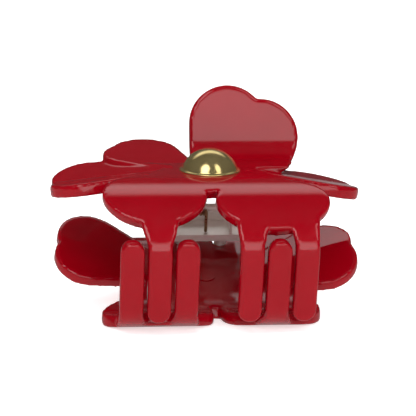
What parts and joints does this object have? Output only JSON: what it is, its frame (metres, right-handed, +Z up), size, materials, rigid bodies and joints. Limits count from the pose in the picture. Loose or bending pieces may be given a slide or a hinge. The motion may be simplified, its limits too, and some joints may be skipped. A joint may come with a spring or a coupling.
{
  "type": "hair clip",
  "caption": "Flower claw hair clip: folded acetate flowers with interleaving teeth and a gold dome, on a sprung hinge, with petals to squeeze it open.",
  "frame": {"origin": "middle of the closed clip's footprint, on the surface it stands on", "axes": "+X along the hinge pin, +Y from the jaw to the finger petals, +Z up"},
  "size_m": [0.0804, 0.0672, 0.0571],
  "materials": {
    "red_acetate": "tumble-polished cellulose acetate sheet, deep red right through, with softly rounded edges",
    "gold": "polished pale gold plating",
    "nickel": "nickel-plated pressed steel, lightly brushed",
    "spring_bronze": "drawn bronze-coloured spring wire"
  },
  "bodies": {
    "lower_half": {"lower_flower": "red_acetate", "lower_dome": "gold", "lower_dome_stud": "red_acetate", "lower_hinge_plate": "nickel", "lower_rivets": "nickel", "hinge_pin": "nickel", "spring_coil": "spring_bronze", "spring_leg_lower": "spring_bronze"},
    "upper_half": {"upper_flower": "red_acetate", "upper_dome": "gold", "upper_dome_stud": "red_acetate", "upper_hinge_plate": "nickel", "upper_rivets": "nickel", "spring_leg_upper": "spring_bronze"}
  },
  "joints": [
    {"name": "jaw_hinge", "type": "hinge", "parent": "lower_half", "child": "upper_half", "pos_m": [0, 0.01118, 0.02515], "axis": [-1, 0, 0], "range_deg": [0, 40], "stiffness_Nm_per_rad": 0.25, "springref_deg": -28.65}
  ]
}
